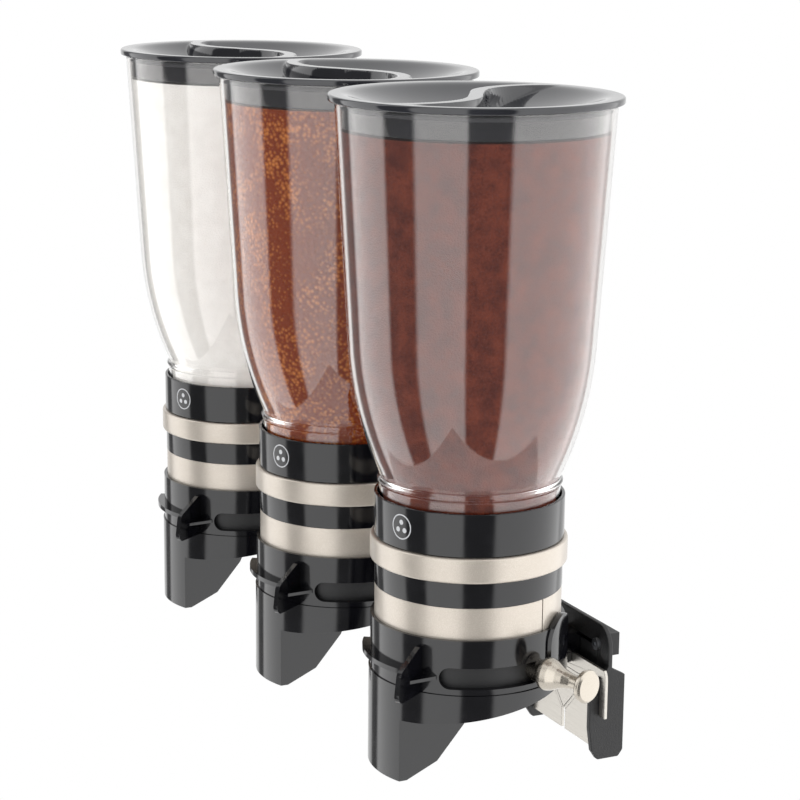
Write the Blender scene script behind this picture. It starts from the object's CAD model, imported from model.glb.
"""Wall row of dry-food dispensers: clear canisters over champagne and black rings, metering knobs and chutes.
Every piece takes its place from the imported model, in metres, with the wall at Y = 0 and +Z up."""

import math

import bmesh
import bpy
import numpy as np
from bpy.props import FloatProperty, FloatVectorProperty, PointerProperty, StringProperty
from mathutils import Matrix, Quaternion, Vector


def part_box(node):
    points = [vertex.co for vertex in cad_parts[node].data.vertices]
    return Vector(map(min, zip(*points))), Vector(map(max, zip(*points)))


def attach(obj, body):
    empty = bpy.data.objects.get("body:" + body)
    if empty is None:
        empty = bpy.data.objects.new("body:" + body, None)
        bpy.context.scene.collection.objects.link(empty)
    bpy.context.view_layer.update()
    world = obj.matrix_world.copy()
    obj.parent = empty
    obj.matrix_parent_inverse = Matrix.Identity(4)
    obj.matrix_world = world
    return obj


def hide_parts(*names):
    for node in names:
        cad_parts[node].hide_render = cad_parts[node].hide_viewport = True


bl_info = {
    "name": "Dry-food dispenser row",
    "version": (1, 0, 0),
    "blender": (4, 5, 0),
    "location": "3D View > Sidebar > Dispenser",
    "description": "Builds the canisters, rings, housings, knobs and wall parts on the packed model",
    "category": "Object",
}

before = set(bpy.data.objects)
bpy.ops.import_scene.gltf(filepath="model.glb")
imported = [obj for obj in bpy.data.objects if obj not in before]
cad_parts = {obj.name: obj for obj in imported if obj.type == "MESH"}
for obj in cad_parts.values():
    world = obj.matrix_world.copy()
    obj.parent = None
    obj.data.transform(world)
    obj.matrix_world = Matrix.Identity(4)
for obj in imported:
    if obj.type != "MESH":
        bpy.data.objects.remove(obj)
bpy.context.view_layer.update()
UNITS = ("left", "middle", "right")
MM = 0.001


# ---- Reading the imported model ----

def node_points(node):
    """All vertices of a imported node, as an array of points."""
    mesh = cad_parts[node].data
    co = np.empty(len(mesh.vertices) * 3, np.float32)
    mesh.vertices.foreach_get("co", co)
    return co.reshape(-1, 3).astype(float)


def unit_axis(unit):
    """Where a dispenser's vertical axis stands: the middle of its spacer ring's box."""
    lo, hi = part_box(f"{unit}_spacer_ring")
    return np.array([(lo.x + hi.x) / 2, (lo.y + hi.y) / 2, 0.0])


def ring_size(node, axis):
    """(inner radius, outer radius, lowest z, highest z) of a node turned about a vertical axis."""
    p = node_points(node) - axis
    r = np.hypot(p[:, 0], p[:, 1])
    return r.min(), r.max(), p[:, 2].min(), p[:, 2].max()


def wall_outline(node, axis, side):
    """One wall of a turned shell as (heights, radii) from the bottom up: the outer one for side 1, the inner
    one for -1. A face is on a wall when its normal points mostly away from, or mostly towards, the axis."""
    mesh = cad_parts[node].data
    mesh.calc_loop_triangles()
    count = len(mesh.loop_triangles)
    corners, normals = np.empty(count * 3, np.int32), np.empty(count * 3, np.float32)
    mesh.loop_triangles.foreach_get("vertices", corners)
    mesh.loop_triangles.foreach_get("normal", normals)
    tri = node_points(node)[corners.reshape(-1, 3)] - axis
    centre = tri.mean(1)[:, :2]
    outward = (normals.reshape(-1, 3)[:, :2] * centre).sum(1) / np.linalg.norm(centre, axis=1)
    wall = tri[outward * side > 0.5].reshape(-1, 3)
    z, r = np.round(wall[:, 2], 5), np.hypot(wall[:, 0], wall[:, 1])
    heights = np.unique(z)
    return heights, np.array([r[z == h].max() for h in heights])


# ---- Meshes ----

def mesh_piece(name, points, quads, body, material, smooth=40):
    """Puts points and faces into a new mesh in the row frame, shades it smooth up to an angle, and lets it
    ride on a body."""
    mesh = bpy.data.meshes.new(name)
    mesh.from_pydata(np.asarray(points).tolist(), [], quads)
    mesh.validate()
    mesh.shade_smooth()
    mesh.set_sharp_from_angle(angle=math.radians(smooth))
    piece = bpy.data.objects.new(name, mesh)
    bpy.context.scene.collection.objects.link(piece)
    mesh.materials.append(material)
    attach(piece, body)
    return piece


def grid_faces(rows, columns, wrap_rows, wrap_columns, first=0):
    """Quads over a grid of rows by columns of points, closed round either way when asked."""
    r = np.arange(rows if wrap_rows else rows - 1)
    c = np.arange(columns if wrap_columns else columns - 1)
    i, j = (a.ravel() for a in np.meshgrid(r, c, indexing="ij"))
    i2, j2 = (i + 1) % rows, (j + 1) % columns
    return np.column_stack([i * columns + j, i * columns + j2, i2 * columns + j2, i2 * columns + j]) + first


def eased(outline, radii, steps=5):
    """A closed outline with each corner replaced by a round one: the arc point at share t is the quadratic
    blend (1-t)^2 a + 2t(1-t) corner + t^2 b, where a and b lie one radius before and after the corner."""
    p = np.asarray(outline, float)
    before = np.roll(p, 1, axis=0) - p
    after = np.roll(p, -1, axis=0) - p
    lb = np.linalg.norm(before, axis=1, keepdims=True)
    la = np.linalg.norm(after, axis=1, keepdims=True)
    wanted = np.broadcast_to(np.asarray(radii, float).reshape(-1, 1), lb.shape)
    # Two neighbouring corners share an edge, so each takes a little less than half of it
    reach = np.minimum(wanted, np.minimum(lb, la) * 0.48)
    a, b = p + before / lb * reach, p + after / la * reach
    t = np.linspace(0, 1, steps).reshape(1, -1, 1)
    arc = (1 - t) ** 2 * a[:, None] + 2 * t * (1 - t) * p[:, None] + t ** 2 * b[:, None]
    return arc.reshape(-1, 2)


def ring_section(inner, outer, low, high, inner_edge, outer_edge, steps):
    """A ring's square outline with eased corners."""
    square = [(inner, low), (outer, low), (outer, high), (inner, high)]
    return eased(square, [inner_edge, outer_edge, outer_edge, inner_edge], steps)


def turned(outline, axis, steps=192, start=0.0, sweep=2 * math.pi):
    """A closed outline of (radius, z) carried round a vertical axis: point (r, z) at angle a is
    (r cos a, r sin a, z). Less than a full turn gets flat ends."""
    outline = np.asarray(outline, float)
    full = sweep > 2 * math.pi - 1e-6
    a = start + sweep * np.arange(steps if full else steps + 1) / steps
    r, z = outline[:, 0], outline[:, 1]
    x, y = np.outer(np.cos(a), r), np.outer(np.sin(a), r)
    points = np.stack([x, y, np.broadcast_to(z, x.shape)], -1)
    quads = grid_faces(len(a), len(r), full, True).tolist()
    area = np.sum(r * np.roll(z, -1) - np.roll(r, -1) * z)
    if area > 0:
        quads = [q[::-1] for q in quads]
    if not full:
        n = len(r)
        ends = [list(range(n)), list(range((len(a) - 1) * n, len(a) * n))]
        quads += [ends[0], ends[1][::-1]] if area > 0 else [ends[0][::-1], ends[1]]
    return points.reshape(-1, 3) + axis, quads


def turned_solid(outline, axis, direction, steps=96):
    """An open outline of (distance along the direction, radius), from pole to pole, carried round that
    direction: point (s, r) at angle a is s d + r (cos a side + sin a up). A fan closes each end."""
    outline = np.asarray(outline, float)
    d = np.asarray(direction, float) / np.linalg.norm(direction)
    side = np.cross(d, [0, 0, 1.0]) if abs(d[2]) < 0.9 else np.array([1.0, 0, 0])
    side /= np.linalg.norm(side)
    up = np.cross(side, d)
    a = 2 * math.pi * np.arange(steps) / steps
    s, r = outline[:, 0], outline[:, 1]
    ring = np.cos(a)[None, :, None] * side + np.sin(a)[None, :, None] * up
    body = s[:, None, None] * d + r[:, None, None] * ring
    points = np.vstack([body.reshape(-1, 3), (s[0] * d)[None], (s[-1] * d)[None]]) + axis
    n = len(s)
    return points, capped_faces(n, steps)


def capped_faces(rows, columns):
    """Faces over rings of points that run from one pole to the other, with a fan from each pole's own point.
    The two poles come after the rings."""
    quads = [q[::-1] for q in grid_faces(rows, columns, False, True).tolist()]
    i = np.arange(columns)
    j = (i + 1) % columns
    first, last, end = rows * columns, rows * columns + 1, (rows - 1) * columns
    quads += np.column_stack([np.full(columns, first), i, j]).tolist()
    quads += np.column_stack([np.full(columns, last), end + j, end + i]).tolist()
    return quads


def softened(node, body, material, width, segments=3, angle=28, sheet=False):
    """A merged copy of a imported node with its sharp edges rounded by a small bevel, standing in for the node.
    A sheet keeps each face flat, and only its bevels are shaded round."""
    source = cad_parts[node]
    mesh = source.data.copy()
    mesh.name = f"{node}_shell"
    bm = bmesh.new()
    bm.from_mesh(mesh)
    bmesh.ops.remove_doubles(bm, verts=bm.verts, dist=2e-6)
    bmesh.ops.dissolve_degenerate(bm, dist=1e-6, edges=bm.edges)
    bmesh.ops.dissolve_limit(bm, angle_limit=math.radians(0.01), verts=bm.verts, edges=bm.edges)
    bm.to_mesh(mesh)
    bm.free()
    mesh.materials.clear()
    mesh.materials.append(material)
    mesh.shade_smooth()
    mesh.set_sharp_from_angle(angle=math.radians(angle))
    piece = bpy.data.objects.new(f"{node}_shell", mesh)
    bpy.context.scene.collection.objects.link(piece)
    bevel = piece.modifiers.new("Rounded edges", "BEVEL")
    bevel.width = width
    bevel.segments = segments
    bevel.limit_method = "ANGLE"
    bevel.angle_limit = math.radians(angle)
    bevel.use_clamp_overlap = True
    bevel.harden_normals = sheet
    if not sheet:
        weighted = piece.modifiers.new("Even shading", "WEIGHTED_NORMAL")
        weighted.keep_sharp = False
        weighted.weight = 100
    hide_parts(node)
    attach(piece, body)
    return piece


# ---- Materials ----

def linear(code):
    """An sRGB hex colour such as #c8beb2 as linear RGBA."""
    c = np.array([int(code[k:k + 2], 16) for k in (1, 3, 5)]) / 255
    c = np.where(c <= 0.04045, c / 12.92, ((c + 0.055) / 1.055) ** 2.4)
    return (*c.tolist(), 1.0)


def shades(finish):
    """The darker and the lighter hex colour of a finish."""
    colours = bpy.context.scene.dispenser_colours
    return getattr(colours, f"{finish}_dark"), getattr(colours, f"{finish}_light")


def add(tree, kind, settings=None, **links):
    """Adds a node, sets its inputs or properties by name, and links inputs from (node, output) pairs."""
    node = tree.nodes.new(kind)
    for key, value in (settings or {}).items():
        if key in node.inputs:
            node.inputs[key].default_value = value
        else:
            setattr(node, key, value)
    for key, (other, output) in links.items():
        tree.links.new(other.outputs[output], node.inputs[key.replace("_", " ")])
    return node


def begin(name, settings):
    """A new material with one Principled shader carrying these constants."""
    material = bpy.data.materials.get(name)
    if material:
        return material, None, None
    material = bpy.data.materials.new(name)
    material.use_nodes = True
    tree = material.node_tree
    tree.nodes.clear()
    shader = add(tree, "ShaderNodeBsdfPrincipled", settings)
    add(tree, "ShaderNodeOutputMaterial", None, Surface=(shader, "BSDF"))
    return material, tree, shader


def place(tree, scale, stretch=(1, 1, 1)):
    """Object coordinates, scaled so that one pattern cell is one over scale metres."""
    coordinates = add(tree, "ShaderNodeTexCoord")
    size = tuple(scale * s for s in stretch)
    return add(tree, "ShaderNodeMapping", {"Scale": size}, Vector=(coordinates, "Object"))


def bumped(tree, shader, height, output, distance, strength):
    """Gives a shader a bump of that height in metres."""
    bump = add(tree, "ShaderNodeBump", {"Distance": distance, "Strength": strength}, Height=(height, output))
    tree.links.new(bump.outputs["Normal"], shader.inputs["Normal"])


def tinted(tree, shader, factor, output, low, high, span=(0.3, 0.7)):
    """Colours a shader between two hex colours by a pattern."""
    ramp = add(tree, "ShaderNodeValToRGB", None, Fac=(factor, output))
    for stop, position, colour in zip(ramp.color_ramp.elements, span, (low, high)):
        stop.position = position
        stop.color = linear(colour)
    tree.links.new(ramp.outputs["Color"], shader.inputs["Base Color"])


def roughened(tree, shader, factor, output, low, high):
    """Varies a shader's roughness between two values by a pattern."""
    limits = {"From Min": 0.3, "From Max": 0.7, "To Min": low, "To Max": high}
    span = add(tree, "ShaderNodeMapRange", limits, Value=(factor, output))
    tree.links.new(span.outputs["Result"], shader.inputs["Roughness"])


def let_lamps_through(tree, shader):
    """Light on its way to what is inside passes straight through the clear wall."""
    path = add(tree, "ShaderNodeLightPath")
    either = add(tree, "ShaderNodeMath", {"operation": "MAXIMUM"})
    tree.links.new(path.outputs["Is Shadow Ray"], either.inputs[0])
    tree.links.new(path.outputs["Is Diffuse Ray"], either.inputs[1])
    open_wall = add(tree, "ShaderNodeBsdfTransparent", {"Color": (0.97, 0.97, 0.97, 1)})
    mix = add(tree, "ShaderNodeMixShader", None, Fac=(either, "Value"))
    tree.links.new(shader.outputs["BSDF"], mix.inputs[1])
    tree.links.new(open_wall.outputs["BSDF"], mix.inputs[2])
    tree.links.new(mix.outputs["Shader"], tree.get_output_node("ALL").inputs["Surface"])


def clear_polycarbonate():
    # Injection-moulded polycarbonate, polished: clear, sharp reflections and the mould's faint slow waviness
    material, tree, shader = begin("clear_polycarbonate", {
        "Base Color": linear("#f4f2f0"), "Roughness": 0.02, "IOR": 1.585, "Transmission Weight": 1.0})
    if tree:
        # Waves about 60 mm across, a few microns high
        wave = add(tree, "ShaderNodeTexNoise", {"Scale": 1.0, "Detail": 0.0},
                   Vector=(place(tree, 16), "Vector"))
        bumped(tree, shader, wave, "Fac", 0.0004, 0.05)
        let_lamps_through(tree, shader)
    return material


def smoked_lid_plastic():
    # Smoked styrene, moulded and polished: near black with clean pale reflections
    material, tree, shader = begin("smoked_lid_plastic", {
        "Base Color": linear("#1c1d22"), "Roughness": 0.07, "IOR": 1.57,
        "Coat Weight": 0.1, "Coat Roughness": 0.03})
    if tree:
        cloud = add(tree, "ShaderNodeTexNoise", {"Scale": 1.0, "Detail": 3.0},
                    Vector=(place(tree, 60), "Vector"))
        tinted(tree, shader, cloud, "Fac", *shades("lid"))
        roughened(tree, shader, cloud, "Fac", 0.05, 0.11)
    return material


def black_gloss_abs():
    # ABS moulded in a polished tool: black, glossy, with a very slight orange peel
    material, tree, shader = begin("black_gloss_abs", {
        "Base Color": linear("#07070a"), "Roughness": 0.11, "IOR": 1.53})
    if tree:
        # Orange peel of about 3 mm; dust-like roughness changes of about 12 mm
        peel = add(tree, "ShaderNodeTexNoise", {"Scale": 1.0, "Detail": 1.0},
                   Vector=(place(tree, 330), "Vector"))
        cloud = add(tree, "ShaderNodeTexNoise", {"Scale": 1.0, "Detail": 3.0},
                    Vector=(place(tree, 80), "Vector"))
        roughened(tree, shader, cloud, "Fac", 0.08, 0.15)
        tinted(tree, shader, cloud, "Fac", *shades("gloss"))
        bumped(tree, shader, peel, "Fac", 0.0001, 0.03)
    return material


def champagne_lacquer():
    # Metallic lacquer on a moulded band: warm pearl grey, satin, with fine metal flake
    material, tree, shader = begin("champagne_lacquer", {
        "Base Color": linear("#b8b0a4"), "Metallic": 0.55, "Roughness": 0.33,
        "Coat Weight": 0.2, "Coat Roughness": 0.12})
    if tree:
        # Flakes drawn at 0.4 mm, coarser than real ones so that they show
        flake = add(tree, "ShaderNodeTexVoronoi", {"Scale": 1.0}, Vector=(place(tree, 2500), "Vector"))
        cloud = add(tree, "ShaderNodeTexNoise", {"Scale": 1.0, "Detail": 2.0},
                    Vector=(place(tree, 70), "Vector"))
        tinted(tree, shader, flake, "Distance", *shades("band"), (0.1, 0.8))
        roughened(tree, shader, cloud, "Fac", 0.3, 0.38)
    return material


def turned_stainless():
    # Stainless steel turned on a lathe and satin finished: fine rings, warm white highlights
    material, tree, shader = begin("turned_stainless", {
        "Base Color": linear("#b5aea3"), "Metallic": 1.0, "Roughness": 0.24})
    if tree:
        rings = add(tree, "ShaderNodeTexNoise", {"Scale": 1.0, "Detail": 2.0},
                    Vector=(place(tree, 1400), "Vector"))
        roughened(tree, shader, rings, "Fac", 0.19, 0.3)
        bumped(tree, shader, rings, "Fac", 0.00004, 0.25)
    return material


def sheet_stainless():
    # Cold-rolled stainless sheet, brushed across: long fine horizontal lines
    material, tree, shader = begin("sheet_stainless", {
        "Base Color": linear("#b9b5ae"), "Metallic": 1.0, "Roughness": 0.34})
    if tree:
        # Lines 0.5 mm apart and 40 mm long
        lines = add(tree, "ShaderNodeTexNoise", {"Scale": 1.0, "Detail": 3.0},
                    Vector=(place(tree, 2000, (0.0125, 1, 1)), "Vector"))
        roughened(tree, shader, lines, "Fac", 0.26, 0.42)
        tinted(tree, shader, lines, "Fac", "#aaa69f", "#c4c0b9")
        bumped(tree, shader, lines, "Fac", 0.00003, 0.3)
    return material


def zinc_plate():
    # Zinc-plated steel screws: cool grey, slightly cloudy
    material, tree, shader = begin("zinc_plate", {
        "Base Color": linear("#9c9ea2"), "Metallic": 1.0, "Roughness": 0.36})
    if tree:
        cloud = add(tree, "ShaderNodeTexNoise", {"Scale": 1.0, "Detail": 4.0},
                    Vector=(place(tree, 180), "Vector"))
        tinted(tree, shader, cloud, "Fac", "#8e9094", "#a9abaf")
        roughened(tree, shader, cloud, "Fac", 0.3, 0.44)
    return material


def textured_powder_coat():
    # Black polyester powder coat with a fine leather-like texture, grains about 0.8 mm
    material, tree, shader = begin("textured_powder_coat", {
        "Base Color": linear("#0f0f11"), "Roughness": 0.5, "IOR": 1.5})
    if tree:
        grain = add(tree, "ShaderNodeTexNoise", {"Scale": 1.0, "Detail": 2.0},
                    Vector=(place(tree, 1200), "Vector"))
        tinted(tree, shader, grain, "Fac", "#09090a", "#161618")
        roughened(tree, shader, grain, "Fac", 0.42, 0.6)
        bumped(tree, shader, grain, "Fac", 0.00035, 0.6)
    return material


def black_silicone():
    # Moulded silicone seal: soft, dark grey, matte
    material, tree, shader = begin("black_silicone", {
        "Base Color": linear("#3a3b40"), "Roughness": 0.6, "IOR": 1.43})
    if tree:
        grain = add(tree, "ShaderNodeTexNoise", {"Scale": 1.0, "Detail": 2.0},
                    Vector=(place(tree, 900), "Vector"))
        tinted(tree, shader, grain, "Fac", "#34353a", "#424348")
    return material


def matte_inner_abs():
    # Spark-textured ABS of the inner tube: dark and matte
    material, tree, shader = begin("matte_inner_abs", {
        "Base Color": linear("#0c0c0e"), "Roughness": 0.55, "IOR": 1.53})
    if tree:
        grain = add(tree, "ShaderNodeTexNoise", {"Scale": 1.0, "Detail": 2.0},
                    Vector=(place(tree, 1500), "Vector"))
        tinted(tree, shader, grain, "Fac", "#09090b", "#101012")
        bumped(tree, shader, grain, "Fac", 0.0001, 0.4)
    return material


def food(name, shade, grain, depth, contrast):
    """Dry food seen through the canister: grains of a size in metres, shaded between two colours."""
    dark, light = shades(shade)
    material, tree, shader = begin(name, {
        "Base Color": linear(light), "Roughness": 0.9, "IOR": 1.4, "Specular IOR Level": 0.12})
    if tree:
        cells = add(tree, "ShaderNodeTexVoronoi", {"Scale": 1.0}, Vector=(place(tree, 1 / grain), "Vector"))
        drift = add(tree, "ShaderNodeTexNoise", {"Scale": 1.0, "Detail": 4.0},
                    Vector=(place(tree, 0.12 / grain), "Vector"))
        mix = add(tree, "ShaderNodeMath", {"operation": "MULTIPLY_ADD"})
        tree.links.new(cells.outputs["Distance"], mix.inputs[0])
        mix.inputs[1].default_value = -contrast
        tree.links.new(drift.outputs["Fac"], mix.inputs[2])
        tinted(tree, shader, mix, "Value", dark, light, (0.05, 0.75))
        bumped(tree, shader, cells, "Distance", depth, 0.7)
    return material


def cocoa_powder():
    # Cocoa: matte and red-brown, with slight drifts; its grain is drawn at 1.1 mm, coarser than real, to show
    return food("cocoa_powder", "cocoa", 1.1 * MM, 0.4 * MM, 0.45)


def malt_granules():
    # Malt drink granules: crumbs of about 2.6 mm in orange brown
    return food("malt_granules", "malt", 2.6 * MM, 1.8 * MM, 0.8)


def milk_powder():
    # Milk powder: soft white; its grain is drawn at 1.2 mm, coarser than real, to show
    return food("milk_powder", "milk", 1.2 * MM, 0.3 * MM, 0.2)


def mark_print():
    # Pad-printed pale grey ink on the collar
    material, tree, shader = begin("mark_print", {"Base Color": linear("#b9babd"), "Roughness": 0.45})
    if tree:
        grain = add(tree, "ShaderNodeTexNoise", {"Scale": 1.0, "Detail": 2.0},
                    Vector=(place(tree, 1500), "Vector"))
        tinted(tree, shader, grain, "Fac", "#adaeb1", "#c6c7ca")
    return material


def pale_floor():
    # Painted studio floor: white, matte, very slightly uneven
    material, tree, shader = begin("pale_floor", {"Base Color": linear("#f4f4f4"), "Roughness": 0.9})
    if tree:
        cloud = add(tree, "ShaderNodeTexNoise", {"Scale": 1.0, "Detail": 2.0},
                    Vector=(place(tree, 2), "Vector"))
        tinted(tree, shader, cloud, "Fac", "#f2f2f2", "#f7f7f7")
    return material


# ---- Sizes and colours ----

class DispenserLooks(bpy.types.PropertyGroup):
    """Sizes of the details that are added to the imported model."""

    edge: FloatProperty(
        name="Edge radius", description="Radius of the moulded edges",
        default=0.7 * MM, min=0.1 * MM, max=2 * MM, unit="LENGTH")
    sheet_edge: FloatProperty(
        name="Sheet edge radius", description="Radius of the sheet metal's edges",
        default=0.35 * MM, min=0.05 * MM, max=1 * MM, unit="LENGTH")
    bead: FloatProperty(
        name="Neck bead", description="How far the moulded bead stands out of the canister's neck",
        default=1.3 * MM, min=0.0, max=2 * MM, unit="LENGTH")
    fill_gap: FloatProperty(
        name="Fill gap", description="Gap between the food and the lid's plug",
        default=1.2 * MM, min=0.5 * MM, max=100 * MM, unit="LENGTH")
    seam: FloatProperty(
        name="Band seam", description="Width of the open seam in the trim band",
        default=0.9 * MM, min=0.2 * MM, max=2 * MM, unit="LENGTH")
    seam_angle: FloatProperty(
        name="Seam direction", description="Direction of the band seam from the front, towards the right",
        default=math.radians(114), subtype="ANGLE")
    mark: FloatProperty(
        name="Mark size", description="Width of the mark on the collar",
        default=15 * MM, min=4 * MM, max=18 * MM, unit="LENGTH")
    mark_angle: FloatProperty(
        name="Mark direction", description="Direction of the mark from the front, towards the right",
        default=math.radians(19), subtype="ANGLE")
    ridge: FloatProperty(
        name="Ridge width", description="Width of the lid's grip ridge",
        default=10 * MM, min=6 * MM, max=14 * MM, unit="LENGTH")
    ridge_run: FloatProperty(
        name="Ridge run", description="Half length of the ridge's straight middle",
        default=18 * MM, min=10 * MM, max=30 * MM, unit="LENGTH")
    ridge_bend: FloatProperty(
        name="Ridge bend", description="Radius of the ridge's two bends",
        default=50 * MM, min=40 * MM, max=80 * MM, unit="LENGTH")
    lid_wall: FloatProperty(
        name="Lid wall", description="Wall thickness of the lid",
        default=2.4 * MM, min=1.5 * MM, max=4 * MM, unit="LENGTH")


class DispenserColours(bpy.types.PropertyGroup):
    """Colours as sRGB hex values: each finish is shaded between a darker and a lighter one."""

    lid_dark: StringProperty(
        name="Lid, darker", description="Darker shade of the lids", default="#191a1f")
    lid_light: StringProperty(
        name="Lid, lighter", description="Lighter shade of the lids", default="#212228")
    gloss_dark: StringProperty(
        name="Black, darker", description="Darker shade of the housings", default="#060609")
    gloss_light: StringProperty(
        name="Black, lighter", description="Lighter shade of the housings", default="#0a0a0e")
    band_dark: StringProperty(
        name="Champagne, darker", description="Darker shade of the bands", default="#aea599")
    band_light: StringProperty(
        name="Champagne, lighter", description="Lighter shade of the bands", default="#c2bab0")
    cocoa_dark: StringProperty(
        name="Cocoa, darker", description="Darker shade of the cocoa", default="#48180f")
    cocoa_light: StringProperty(
        name="Cocoa, lighter", description="Lighter shade of the cocoa", default="#7d3a24")
    malt_dark: StringProperty(
        name="Malt, darker", description="Darker shade of the granules", default="#7a300a")
    malt_light: StringProperty(
        name="Malt, lighter", description="Lighter shade of the granules", default="#dc8a40")
    milk_dark: StringProperty(
        name="Milk, darker", description="Darker shade of the milk powder", default="#eceae6")
    milk_light: StringProperty(
        name="Milk, lighter", description="Lighter shade of the milk powder", default="#fdfcf9")


class StudioLooks(bpy.types.PropertyGroup):
    """The camera, the floor and the light."""

    azimuth: FloatProperty(
        name="Camera azimuth", description="Camera direction round the row, from the front towards the right",
        default=math.radians(64.3), subtype="ANGLE")
    elevation: FloatProperty(
        name="Camera elevation", description="Camera height over the horizon",
        default=math.radians(12.88), subtype="ANGLE")
    roll: FloatProperty(
        name="Camera roll", description="Turn of the camera about its own line of sight",
        default=math.radians(0.58), subtype="ANGLE")
    distance: FloatProperty(
        name="Camera distance", description="From the camera to the point that it looks at",
        default=1.439, unit="LENGTH")
    lens: FloatProperty(
        name="Lens", description="Focal length", default=104.0, min=20, max=300, unit="CAMERA")
    aim: FloatVectorProperty(
        name="Aim", description="Point that the camera looks at",
        default=(0.0894, -0.0887, 0.1325), subtype="TRANSLATION")
    floor_half: FloatProperty(
        name="Floor size", description="Half the width of the floor",
        default=1.4, min=0.5, max=20, unit="LENGTH")
    floor_drop: FloatProperty(
        name="Floor drop", description="How far the floor lies below the rail",
        default=1.2, min=0.1, max=5, unit="LENGTH")
    wrap: FloatProperty(
        name="Ambient", description="Strength of the even light between the soft boxes",
        default=0.24, min=0, max=3)
    panels: FloatProperty(
        name="Soft boxes", description="Strength of the soft boxes", default=2.0, min=0, max=10)
    overhead: FloatProperty(
        name="Overhead", description="Strength of the panel above the row", default=1.4, min=0, max=10)


# ---- Pieces ----

def smooth_wall(z, r, grid):
    """Radius at each height: two packed corner points are joined by the cubic that keeps the slope at both,
    or by a line next to a sharp corner, where the cubic would leave the line by 0.25 mm."""
    slope = np.gradient(r, z)
    i = np.clip(np.searchsorted(z, grid) - 1, 0, len(z) - 2)
    h = z[i + 1] - z[i]
    t = (grid - z[i]) / h
    line = r[i] + (r[i + 1] - r[i]) * t
    cubic = ((2 * t ** 3 - 3 * t ** 2 + 1) * r[i] + (t ** 3 - 2 * t ** 2 + t) * h * slope[i]
             + (-2 * t ** 3 + 3 * t ** 2) * r[i + 1] + (t ** 3 - t ** 2) * h * slope[i + 1])
    return np.where(np.abs(cubic - line) < 0.25 * MM, cubic, line)


class DISPENSER_OT_canisters(bpy.types.Operator):
    """Clear canisters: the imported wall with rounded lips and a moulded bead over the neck"""

    bl_idname = "dispenser.canisters"
    bl_label = "Canisters"

    def execute(self, context):
        looks = context.scene.dispenser_looks
        for unit in UNITS:
            axis = unit_axis(unit)
            z, r = wall_outline(f"{unit}_canister", axis, 1)
            zi, ri = wall_outline(f"{unit}_canister", axis, -1)
            bead_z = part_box(f"{unit}_collar")[1].z + 8 * MM
            # The wall has 90 rings each way, and 41 more over the 10 mm round the bead
            up = np.linspace(z[0], z[-1], 90)
            up = np.unique(np.concatenate([up, bead_z + np.linspace(-5, 5, 41) * MM]))
            down = np.linspace(zi[-1], zi[0], 90)
            # The bead is a bell curve: height times exp(-((z - middle) / width)^2)
            out = smooth_wall(z, r, up) + looks.bead * np.exp(-((up - bead_z) / (1.6 * MM)) ** 2)
            into = smooth_wall(zi, ri, down)
            wall = np.column_stack([np.concatenate([out, into]), np.concatenate([up, down])])
            corners = [0, len(up) - 1, len(up), len(wall) - 1]
            lips = eased(wall, np.full(len(wall), 1.0 * MM), 5).reshape(len(wall), 5, 2)
            wall = np.vstack([lips[k] if k in corners else wall[k:k + 1] for k in range(len(wall))])
            points, quads = turned(wall, axis, 200)
            piece = mesh_piece(f"{unit}_canister_wall", points, quads, f"{unit}_hopper",
                               clear_polycarbonate(), 50)
            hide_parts(f"{unit}_canister")
        return {"FINISHED"}


class DISPENSER_OT_contents(bpy.types.Operator):
    """Dry food inside the canisters, filled up to just under the lids"""

    bl_idname = "dispenser.contents"
    bl_label = "Contents"

    def execute(self, context):
        looks = context.scene.dispenser_looks
        foods = {"left": milk_powder(), "middle": malt_granules(), "right": cocoa_powder()}
        for k, unit in enumerate(UNITS):
            axis = unit_axis(unit)
            zi, ri = wall_outline(f"{unit}_canister", axis, -1)
            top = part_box(f"{unit}_lid")[0].z - looks.fill_gap
            z = np.linspace(zi[0] + 0.5 * MM, top, 90)
            r = smooth_wall(zi, ri, z) - 0.25 * MM
            inward = np.linspace(1, 0.02, 30)[1:]
            lid_side = np.column_stack([np.full(len(inward), top), r[-1] * inward])
            outline = np.vstack([np.column_stack([z, r]), lid_side])
            points, quads = turned_solid(outline, axis, (0, 0, 1), 160)
            # The top is nearly flat and lumpy: z = top + sum of slow waves, fading out at the wall
            x, y = (points[:, 0] - axis[0]) / r[-1], (points[:, 1] - axis[1]) / r[-1]
            lump = 0.5 + 0.3 * np.sin(7 * x + k) * np.cos(6 * y - k) + 0.2 * np.sin(15 * x * y + 2 * k)
            on_top = points[:, 2] >= top - 1e-6
            points[on_top, 2] += (1.8 * MM * lump * (1 - np.minimum(x ** 2 + y ** 2, 1)))[on_top]
            mesh_piece(f"{unit}_food", points, quads, f"{unit}_hopper", foods[unit], 60)
        return {"FINISHED"}


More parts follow.
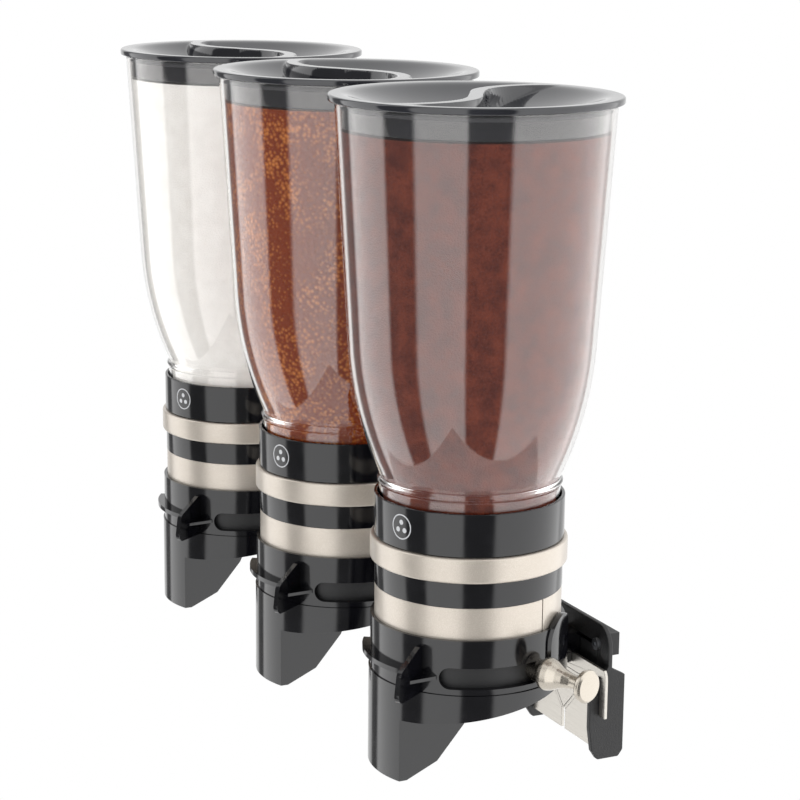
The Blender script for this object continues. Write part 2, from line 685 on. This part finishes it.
def dished_lid(unit, axis, looks, columns=320):
    """A lid as rings of points from its top centre, out over the rim and back under it to the bottom centre.
    The top is z = top + (dish - top) s, where s rises smoothly from 0 on the grip ridge to 1 beside it."""
    p = node_points(f"{unit}_lid") - axis
    radius = np.hypot(p[:, 0], p[:, 1])
    bottom, top = p[:, 2].min(), p[:, 2].max()
    outer = radius.max()
    on_top = p[:, 2] > top - 0.01 * MM
    dish_r = radius[on_top & (radius < 0.93 * outer)].max()
    plug_r = radius[p[:, 2] < bottom + 0.01 * MM].max()
    under = p[(radius > 0.98 * outer)][:, 2].min() - 0.8 * MM
    seal_in, _, seal_low, seal_high = ring_size(f"{unit}_lid_seal", axis)
    # The ridge runs along the direction in which its innermost corners are spread the most
    near = p[on_top & (radius < 1.15 * looks.ridge_run)][:, :2]
    along = np.linalg.svd(near, full_matrices=False)[2][0]
    depth = top - bottom - looks.lid_wall
    ball_r = (dish_r ** 2 + depth ** 2) / (2 * depth)
    ball_z = top - depth + ball_r
    a = 2 * math.pi * np.arange(columns) / columns
    dish_rings = np.linspace(0.4 * MM, dish_r + 2 * MM, 120)
    r = np.concatenate([dish_rings, np.linspace(dish_r + 3 * MM, outer - 1.4 * MM, 6)])
    x, y = np.outer(r, np.cos(a)), np.outer(r, np.sin(a))
    u, v = along[0] * x + along[1] * y, -along[1] * x + along[0] * y
    # Distance from the ridge's middle line: |v| where it is straight, and | |point - bend centre| - bend |
    # in the two bends
    bend = looks.ridge_bend
    off = np.where(np.abs(u) < looks.ridge_run, np.abs(v),
                   np.abs(np.hypot(np.abs(u) - looks.ridge_run, np.sign(u) * v + bend) - bend))
    # The dish is part of a ball, z = ball_z - sqrt(ball_r^2 - r^2), joined to the flat rim by a soft minimum
    soft = 0.8 * MM
    ball = np.broadcast_to((ball_z - np.sqrt(ball_r ** 2 - r ** 2))[:, None], off.shape)
    dish = -soft * np.logaddexp(-(ball - top) / soft, 0) + top
    t = np.clip((off - looks.ridge / 2 + 0.9 * MM) / (2.4 * MM), 0, 1)
    z = top + (dish - top) * t * t * (3 - 2 * t)
    upper = np.stack([x, y, z], -1)
    wall = looks.lid_wall
    skirt = plug_r - wall
    r_under = np.linspace(skirt, 2 * MM, 40)
    roof = ball_z - np.sqrt((ball_r + wall + 0.5 * MM) ** 2 - r_under ** 2)
    roof = np.clip(roof, bottom, under - 1 * MM)
    # The rim's edge, the rim's underside, the plug with its seal's groove, and the plug's lower edge
    corner = np.array([
        (outer - 1.2 * MM, top), (outer - 0.6 * MM, top - 0.2 * MM),
        (outer - 0.15 * MM, top - 0.65 * MM), (outer, top - 1.2 * MM),
        (outer, under + 0.8 * MM), (outer - 0.25 * MM, under + 0.25 * MM),
        (outer - 0.8 * MM, under), (plug_r + 0.6 * MM, under),
        (plug_r + 0.15 * MM, under - 0.2 * MM), (plug_r, under - 0.8 * MM),
        (plug_r, seal_high), (seal_in, seal_high), (seal_in, seal_low), (plug_r, seal_low),
        (plug_r, bottom + 0.8 * MM), (plug_r - 0.25 * MM, bottom + 0.25 * MM),
        (plug_r - 0.8 * MM, bottom), (skirt + 0.5 * MM, bottom), (skirt, bottom + 0.5 * MM)])
    lower = np.vstack([corner, np.column_stack([r_under, roof])])
    rings = np.stack([np.outer(lower[:, 0], np.cos(a)), np.outer(lower[:, 0], np.sin(a)),
                      np.repeat(lower[:, 1:], columns, 1)], -1)
    grid = np.concatenate([upper, rings])
    points = np.vstack([grid.reshape(-1, 3), [0, 0, z[0].mean()], [0, 0, roof[-1]]]) + axis
    return points, capped_faces(len(grid), columns)


class DISPENSER_OT_lids(bpy.types.Operator):
    """Smoked lids: a dished top with an S-shaped grip ridge left standing, and the seals round their plugs"""

    bl_idname = "dispenser.lids"
    bl_label = "Lids"

    def execute(self, context):
        looks = context.scene.dispenser_looks
        for unit in UNITS:
            axis = unit_axis(unit)
            points, quads = dished_lid(unit, axis, looks)
            piece = mesh_piece(f"{unit}_lid_shell", points, quads, f"{unit}_cover",
                               smoked_lid_plastic(), 50)
            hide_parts(f"{unit}_lid")
            inner, outer, z0, z1 = ring_size(f"{unit}_lid_seal", axis)
            ring = ring_section(inner, outer, z0, z1, 0.3 * MM, 1 * MM, 5)
            points, quads = turned(ring, axis, 160)
            piece = mesh_piece(f"{unit}_lid_seal_ring", points, quads, f"{unit}_cover",
                               black_silicone(), 60)
            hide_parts(f"{unit}_lid_seal")
        return {"FINISHED"}


class DISPENSER_OT_rings(bpy.types.Operator):
    """The collar, the champagne portion dial, the black spacer and the champagne band with its seam"""

    bl_idname = "dispenser.rings"
    bl_label = "Rings"

    def execute(self, context):
        looks = context.scene.dispenser_looks
        for unit in UNITS:
            axis = unit_axis(unit)
            # The collar's bore steps in to a ledge that carries the canister's neck
            inner, outer, z0, z1 = ring_size(f"{unit}_collar", axis)
            step_z, step_r = wall_outline(f"{unit}_collar", axis, -1)
            section = [(step_r[0], z0), (outer, z0), (outer, z1), (step_r[-1], z1), (step_r[-1], step_z[-2]),
                       (inner, step_z[-2]), (inner, step_z[1]), (step_r[0], step_z[1])]
            edges = np.array([0.2, 0.5, 0.7, 0.5, 0.1, 0.3, 0.3, 0.1]) * MM
            points, quads = turned(eased(section, edges, 6), axis, 240)
            piece = mesh_piece(f"{unit}_collar_ring", points, quads, f"{unit}_dispenser",
                               black_gloss_abs(), 35)
            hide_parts(f"{unit}_collar")
            # Each ring is a square outline with rounded outer corners
            for node, body, slot_name, material, edge in (
                ("dial_ring", "dial", "champagne", champagne_lacquer(), 1.8 * MM),
                ("spacer_ring", "dispenser", "gloss_black", black_gloss_abs(), 0.5 * MM),
                ("trim_band", "dispenser", "champagne", champagne_lacquer(), 0.3 * MM),
            ):
                inner, outer, z0, z1 = ring_size(f"{unit}_{node}", axis)
                band = ring_section(inner, outer, z0, z1, 0.2 * MM, edge, 7)
                if node == "trim_band":
                    gap = looks.seam / outer
                    start = looks.seam_angle - math.pi / 2 + gap / 2
                    points, quads = turned(band, axis, 240, start, 2 * math.pi - gap)
                else:
                    points, quads = turned(band, axis, 240)
                piece = mesh_piece(f"{unit}_{node}_band", points, quads, f"{unit}_{body}",
                                   material, 35)
                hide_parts(f"{unit}_{node}")
        return {"FINISHED"}


class DISPENSER_OT_marks(bpy.types.Operator):
    """A plain printed mark on each collar: a ring round three dots"""

    bl_idname = "dispenser.marks"
    bl_label = "Marks"

    def execute(self, context):
        looks = context.scene.dispenser_looks
        size = looks.mark
        # A coat of ink drawn 0.12 mm thick, sunk a little into the collar and set above its middle
        ink, sunk, lift = 0.12 * MM, 0.02 * MM, 0.8 * MM
        for unit in UNITS:
            axis = unit_axis(unit)
            _, outer, z0, z1 = ring_size(f"{unit}_collar", axis)
            points, quads = [], []
            # Ink discs and a ring, bent on to the collar: (u, v) goes to angle u / r and height v
            shapes = [(0, 0, size / 2, size / 2 - 0.7 * MM)]
            dots = ((-0.17, -0.12), (0.17, -0.12), (0, 0.18))
            shapes += [(dx * size, dy * size, 0.1 * size, 0.0) for dx, dy in dots]
            for u0, v0, big, small in shapes:
                t = 2 * math.pi * np.arange(48) / 48
                hole = max(small, 0.02 * MM)
                rings = [(big, 0.0), (big, ink), (hole, ink), (hole, 0.0)]
                first = len(points)
                for rr, h in rings:
                    u, v = u0 + rr * np.cos(t), v0 + rr * np.sin(t)
                    angle = looks.mark_angle - math.pi / 2 + u / outer
                    rad = outer - sunk + h
                    height = (z0 + z1) / 2 + lift + v
                    points += np.column_stack([rad * np.cos(angle), rad * np.sin(angle), height]).tolist()
                quads += [q[::-1] for q in grid_faces(4, 48, True, True, first).tolist()]
            mesh_piece(f"{unit}_collar_mark", np.array(points) + axis, quads, f"{unit}_dispenser",
                       mark_print(), 60)
        return {"FINISHED"}


class DISPENSER_OT_housings(bpy.types.Operator):
    """Glossy housings with finger rests, slots and rear pads, and the spouts with their chutes"""

    bl_idname = "dispenser.housings"
    bl_label = "Housings"

    def execute(self, context):
        looks = context.scene.dispenser_looks
        for unit in UNITS:
            softened(f"{unit}_housing", f"{unit}_dispenser", black_gloss_abs(), looks.edge)
            softened(f"{unit}_spout", f"{unit}_dispenser", black_gloss_abs(), looks.edge)
        return {"FINISHED"}


class DISPENSER_OT_knobs(bpy.types.Operator):
    """Turned knobs: a cone that narrows to a neck and ends in a thick round head"""

    bl_idname = "dispenser.knobs"
    bl_label = "Knobs"

    def execute(self, context):
        for unit in UNITS:
            axis = unit_axis(unit)
            p = node_points(f"{unit}_knob")
            middle = p.mean(0)
            out = np.array([middle[0] - axis[0], middle[1] - axis[1], 0.0])
            out /= np.linalg.norm(out)
            lo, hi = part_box(f"{unit}_knob")
            origin = np.array([axis[0], axis[1], (lo.z + hi.z) / 2])
            rel = p - origin
            s = rel @ out
            r = np.linalg.norm(rel - np.outer(s, out), axis=1)
            stations = np.unique(np.round(s, 5))
            radius = np.array([r[np.abs(s - v) < 1e-5].max() for v in stations])
            # The stem's end inside the disc has tighter corners than the part that is held
            soft = np.full(len(stations), 1.2 * MM)
            soft[:3] = 0.3 * MM
            ring = eased(np.column_stack([stations, radius]), soft, 6)[3:-3]
            points, quads = turned_solid(ring, origin, out, 96)
            piece = mesh_piece(f"{unit}_knob_turned", points, quads, f"{unit}_rotor",
                               turned_stainless(), 32)
            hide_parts(f"{unit}_knob")
        return {"FINISHED"}


class DISPENSER_OT_wall_parts(bpy.types.Operator):
    """Powder-coated brackets, stainless hanger plates with ears, the rail and the screws"""

    bl_idname = "dispenser.wall_parts"
    bl_label = "Wall parts"

    def execute(self, context):
        looks = context.scene.dispenser_looks
        for unit in UNITS:
            softened(f"{unit}_bracket", "wall_mount", textured_powder_coat(),
                     looks.edge, sheet=True)
            softened(f"{unit}_hanger_plate", "wall_mount", sheet_stainless(),
                     looks.sheet_edge, sheet=True)
        softened("wall_rail", "wall_mount", textured_powder_coat(), looks.edge, sheet=True)
        finish_nodes(["bracket_screws"], zinc_plate())
        return {"FINISHED"}


def finish_nodes(nodes, material):
    """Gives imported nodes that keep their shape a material."""
    for node in nodes:
        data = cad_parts[node].data
        data.materials.clear()
        data.materials.append(material)


class DISPENSER_OT_inner_parts(bpy.types.Operator):
    """Materials of the metering parts inside the housing"""

    bl_idname = "dispenser.inner_parts"
    bl_label = "Inner parts"

    def execute(self, context):
        for unit in UNITS:
            plastic = ("chamber", "metering_disc", "agitator")
            steel = ("inlet_plate", "outlet_plate", "portion_gate")
            finish_nodes([f"{unit}_{n}" for n in plastic], matte_inner_abs())
            finish_nodes([f"{unit}_{n}" for n in steel], sheet_stainless())
            finish_nodes([f"{unit}_neck_seal"], black_silicone())
        return {"FINISHED"}


# ---- Stage ----

class DISPENSER_OT_stage(bpy.types.Operator):
    """A pale floor, an even studio with tall soft boxes and an overhead panel, and the camera"""

    bl_idname = "dispenser.stage"
    bl_label = "Stage"

    def execute(self, context):
        looks = context.scene.dispenser_studio
        scene = context.scene
        scene.view_settings.view_transform = "Standard"
        n = 5
        side = np.linspace(-looks.floor_half, looks.floor_half, n)
        x, y = np.meshgrid(side, side, indexing="ij")
        mesh = bpy.data.meshes.new("floor")
        # The floor is kept small, because a wide one would hide the soft boxes in the canisters' reflections
        points = np.column_stack([x.ravel(), y.ravel(), np.full(n * n, -looks.floor_drop)])
        mesh.from_pydata(points.tolist(), [], [q[::-1] for q in grid_faces(n, n, False, False).tolist()])
        mesh.materials.append(pale_floor())
        floor = bpy.data.objects.new("floor", mesh)
        scene.collection.objects.link(floor)
        studio_world(scene, looks)

        a, e = looks.azimuth, looks.elevation
        back = Vector((math.sin(a) * math.cos(e), -math.cos(a) * math.cos(e), math.sin(e)))
        camera = bpy.data.objects.new("camera", bpy.data.cameras.new("camera"))
        scene.collection.objects.link(camera)
        camera.data.lens = looks.lens
        camera.data.sensor_width = 36.0
        camera.data.clip_start, camera.data.clip_end = 0.05, 60
        camera.location = Vector(looks.aim) + back * looks.distance
        camera.rotation_mode = "QUATERNION"
        turn = (-back).to_track_quat("-Z", "Y")
        camera.rotation_quaternion = turn @ Quaternion((0, 0, 1), looks.roll)
        scene.camera = camera
        return {"FINISHED"}


def studio_world(scene, looks):
    """Light by direction: soft boxes between set azimuths, an overhead panel, and an even level elsewhere.
    The background itself stays plain white."""
    world = bpy.data.worlds.new("studio")
    scene.world = world
    world.use_nodes = True
    tree = world.node_tree
    tree.nodes.clear()
    sky = add(tree, "ShaderNodeTexCoord")
    parts = add(tree, "ShaderNodeSeparateXYZ", None, Vector=(sky, "Generated"))
    minus_y = add(tree, "ShaderNodeMath", {"operation": "MULTIPLY"})
    tree.links.new(parts.outputs["Y"], minus_y.inputs[0])
    minus_y.inputs[1].default_value = -1
    around = add(tree, "ShaderNodeMath", {"operation": "ARCTAN2"})
    tree.links.new(parts.outputs["X"], around.inputs[0])
    tree.links.new(minus_y.outputs[0], around.inputs[1])
    share = add(tree, "ShaderNodeMapRange", {"From Min": -math.pi, "From Max": math.pi},
                Value=(around, "Value"))
    ramp = add(tree, "ShaderNodeValToRGB", None, Fac=(share, "Result"))
    ramp.color_ramp.interpolation = "LINEAR"
    # (Azimuth from the front towards the right in degrees, share of the soft boxes' light)
    stops = [(-180, 1), (-162, 1), (-156, 0.45), (-84, 0.45), (-80, 0), (-66, 0), (-62, 1), (-20, 1),
             (-17, 0), (9, 0), (13, 1), (55, 1), (58, 0), (92, 0), (96, 1), (180, 1)]
    for k, (angle, level) in enumerate(stops):
        position = (angle + 180) / 360
        if k < 2:
            stop = ramp.color_ramp.elements[k]
            stop.position = position
        else:
            stop = ramp.color_ramp.elements.new(position)
        stop.color = (level, level, level, 1)
    panel = add(tree, "ShaderNodeMapRange", {"To Min": looks.wrap, "To Max": looks.panels},
                Value=(ramp, "Color"))
    height = add(tree, "ShaderNodeMapRange", {"From Min": 0.75, "From Max": 0.9}, Value=(parts, "Z"))
    mixed = add(tree, "ShaderNodeMix", {"data_type": "FLOAT"}, Factor=(height, "Result"), A=(panel, "Result"))
    mixed.inputs["B"].default_value = looks.overhead
    path = add(tree, "ShaderNodeLightPath")
    level = add(tree, "ShaderNodeMix", {"data_type": "FLOAT"},
                Factor=(path, "Is Camera Ray"), A=(mixed, "Result"))
    level.inputs["B"].default_value = 1.0
    background = add(tree, "ShaderNodeBackground", {"Color": (1, 1, 1, 1)}, Strength=(level, "Result"))
    add(tree, "ShaderNodeOutputWorld", None, Surface=(background, "Background"))


class DISPENSER_PT_panel(bpy.types.Panel):
    """Buttons that build the row piece by piece"""

    bl_idname = "DISPENSER_PT_panel"
    bl_label = "Dispenser row"
    bl_space_type = "VIEW_3D"
    bl_region_type = "UI"
    bl_category = "Dispenser"

    def draw(self, context):
        layout = self.layout
        scene = context.scene
        for group in (scene.dispenser_looks, scene.dispenser_colours, scene.dispenser_studio):
            for name in group.__annotations__:
                layout.prop(group, name)
        for operator in OPERATORS:
            layout.operator(operator.bl_idname)


OPERATORS = [
    DISPENSER_OT_canisters, DISPENSER_OT_contents, DISPENSER_OT_lids, DISPENSER_OT_rings,
    DISPENSER_OT_marks, DISPENSER_OT_housings, DISPENSER_OT_knobs, DISPENSER_OT_wall_parts,
    DISPENSER_OT_inner_parts, DISPENSER_OT_stage,
]
CLASSES = [DispenserLooks, DispenserColours, StudioLooks, *OPERATORS, DISPENSER_PT_panel]


def register():
    for c in CLASSES:
        bpy.utils.register_class(c)
    bpy.types.Scene.dispenser_looks = PointerProperty(type=DispenserLooks)
    bpy.types.Scene.dispenser_colours = PointerProperty(type=DispenserColours)
    bpy.types.Scene.dispenser_studio = PointerProperty(type=StudioLooks)


def unregister():
    del bpy.types.Scene.dispenser_looks
    del bpy.types.Scene.dispenser_colours
    del bpy.types.Scene.dispenser_studio
    for c in reversed(CLASSES):
        bpy.utils.unregister_class(c)


def main():
    register()
    for operator in OPERATORS:
        group, name = operator.bl_idname.split(".")
        getattr(getattr(bpy.ops, group), name)()


if __name__ == "__main__":
    main()
